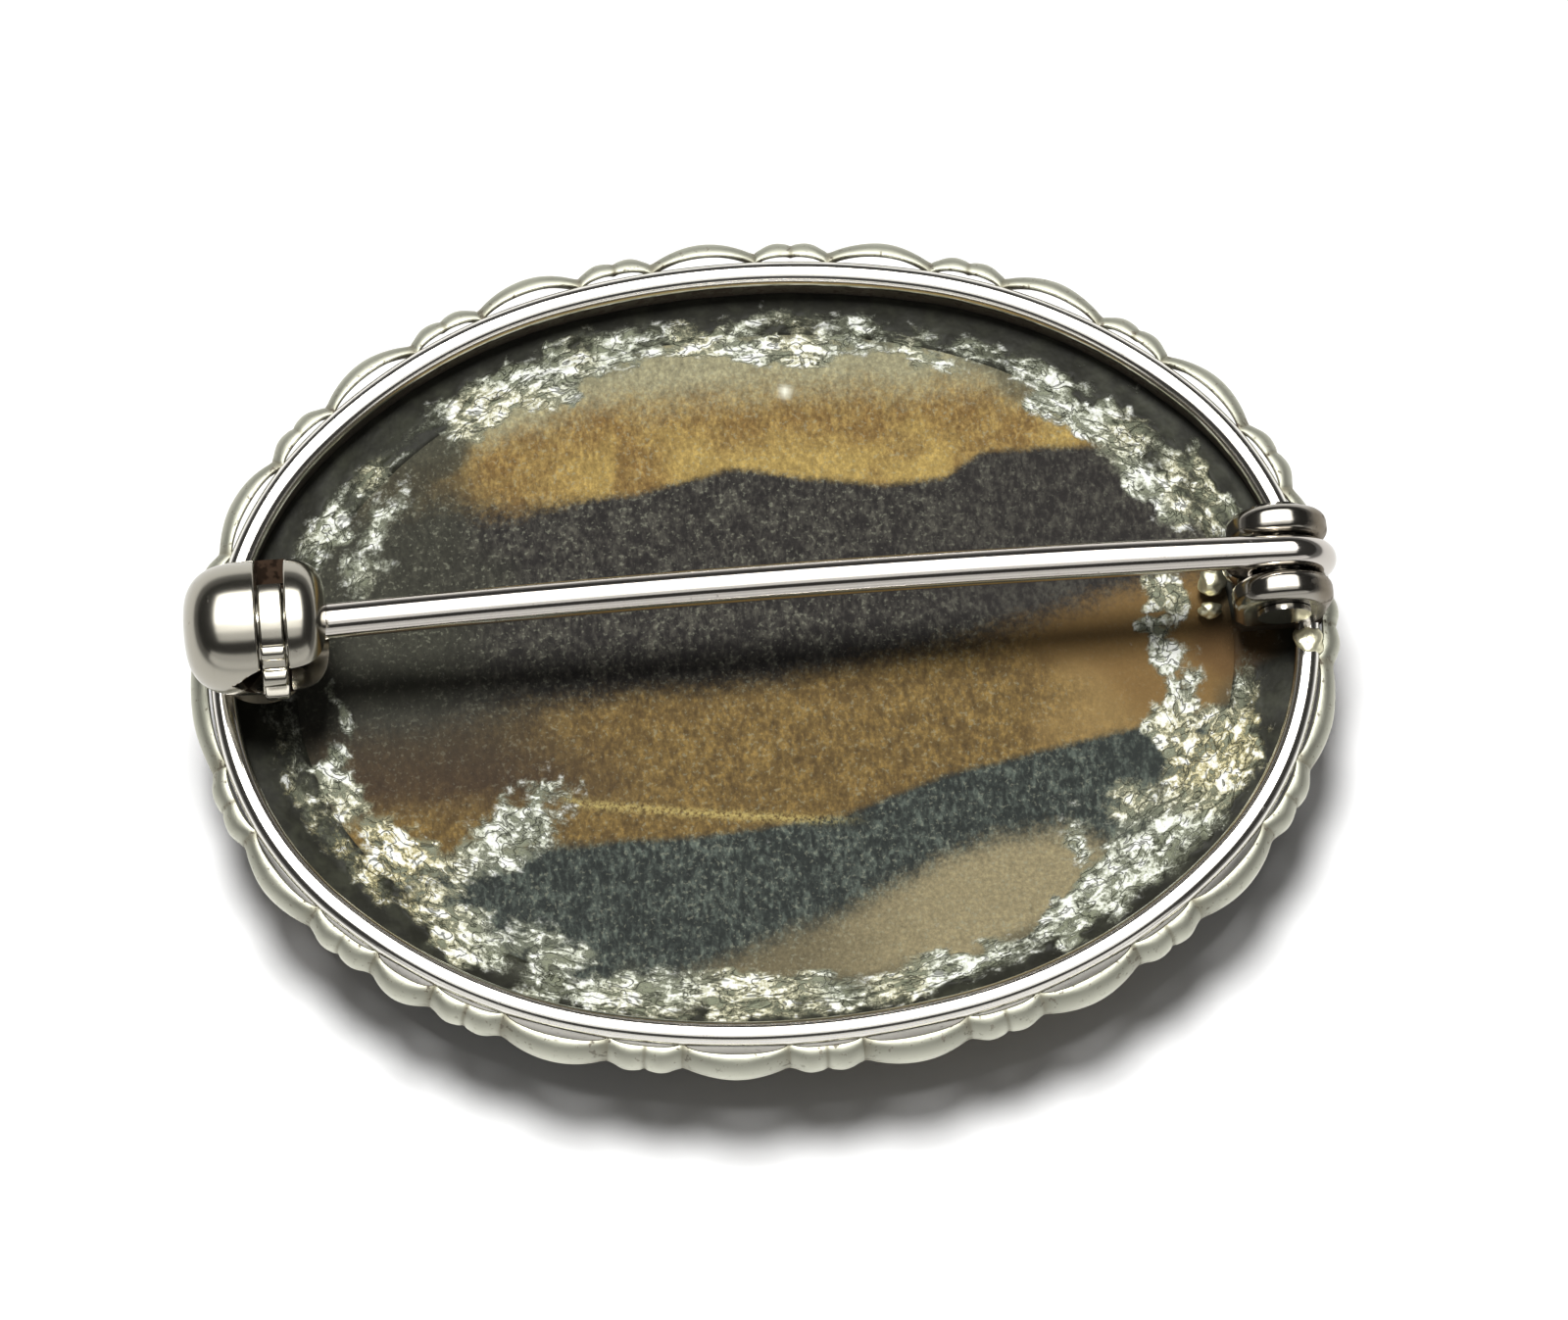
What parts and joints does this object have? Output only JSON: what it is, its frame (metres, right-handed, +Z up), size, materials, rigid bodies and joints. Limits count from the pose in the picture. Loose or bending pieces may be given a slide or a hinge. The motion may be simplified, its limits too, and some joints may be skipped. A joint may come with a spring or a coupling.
{
  "type": "agate brooch",
  "caption": "Oval agate brooch in an open-backed silver setting with a wavy border, a hinged pin and a ball-shaped safety catch whose rotor locks the pin.",
  "frame": {"origin": "middle of the oval at the lowest point of the domed stone, on the surface that the brooch lies on face down", "axes": "+X along the oval from the catch to the hinge, +Y across the oval, +Z up out of the back of the brooch"},
  "size_m": [0.033, 0.0248, 0.0105],
  "materials": {
    "silver": "polished",
    "pin_wire": "polished",
    "agate": "satin",
    "cement": "matte"
  },
  "bodies": {
    "brooch": {"setting": "silver", "agate_stone": "agate", "cement_ring": "cement", "hinge_rivet": "silver"},
    "pin": {"pin_stem": "pin_wire"},
    "rotor": {"catch_rotor": "silver"}
  },
  "joints": [
    {"name": "pin_hinge", "type": "hinge", "parent": "brooch", "child": "pin", "pos_m": [0.0148, 0.0011, 0.00747], "axis": [-0.014, 0.9999, 0], "range_deg": [0, 110]},
    {"name": "catch_turn", "type": "hinge", "parent": "brooch", "child": "rotor", "pos_m": [-0.01442, 0.00069, 0.00865], "axis": [-0.9999, -0.014, 0], "range_deg": [0, 50]}
  ]
}
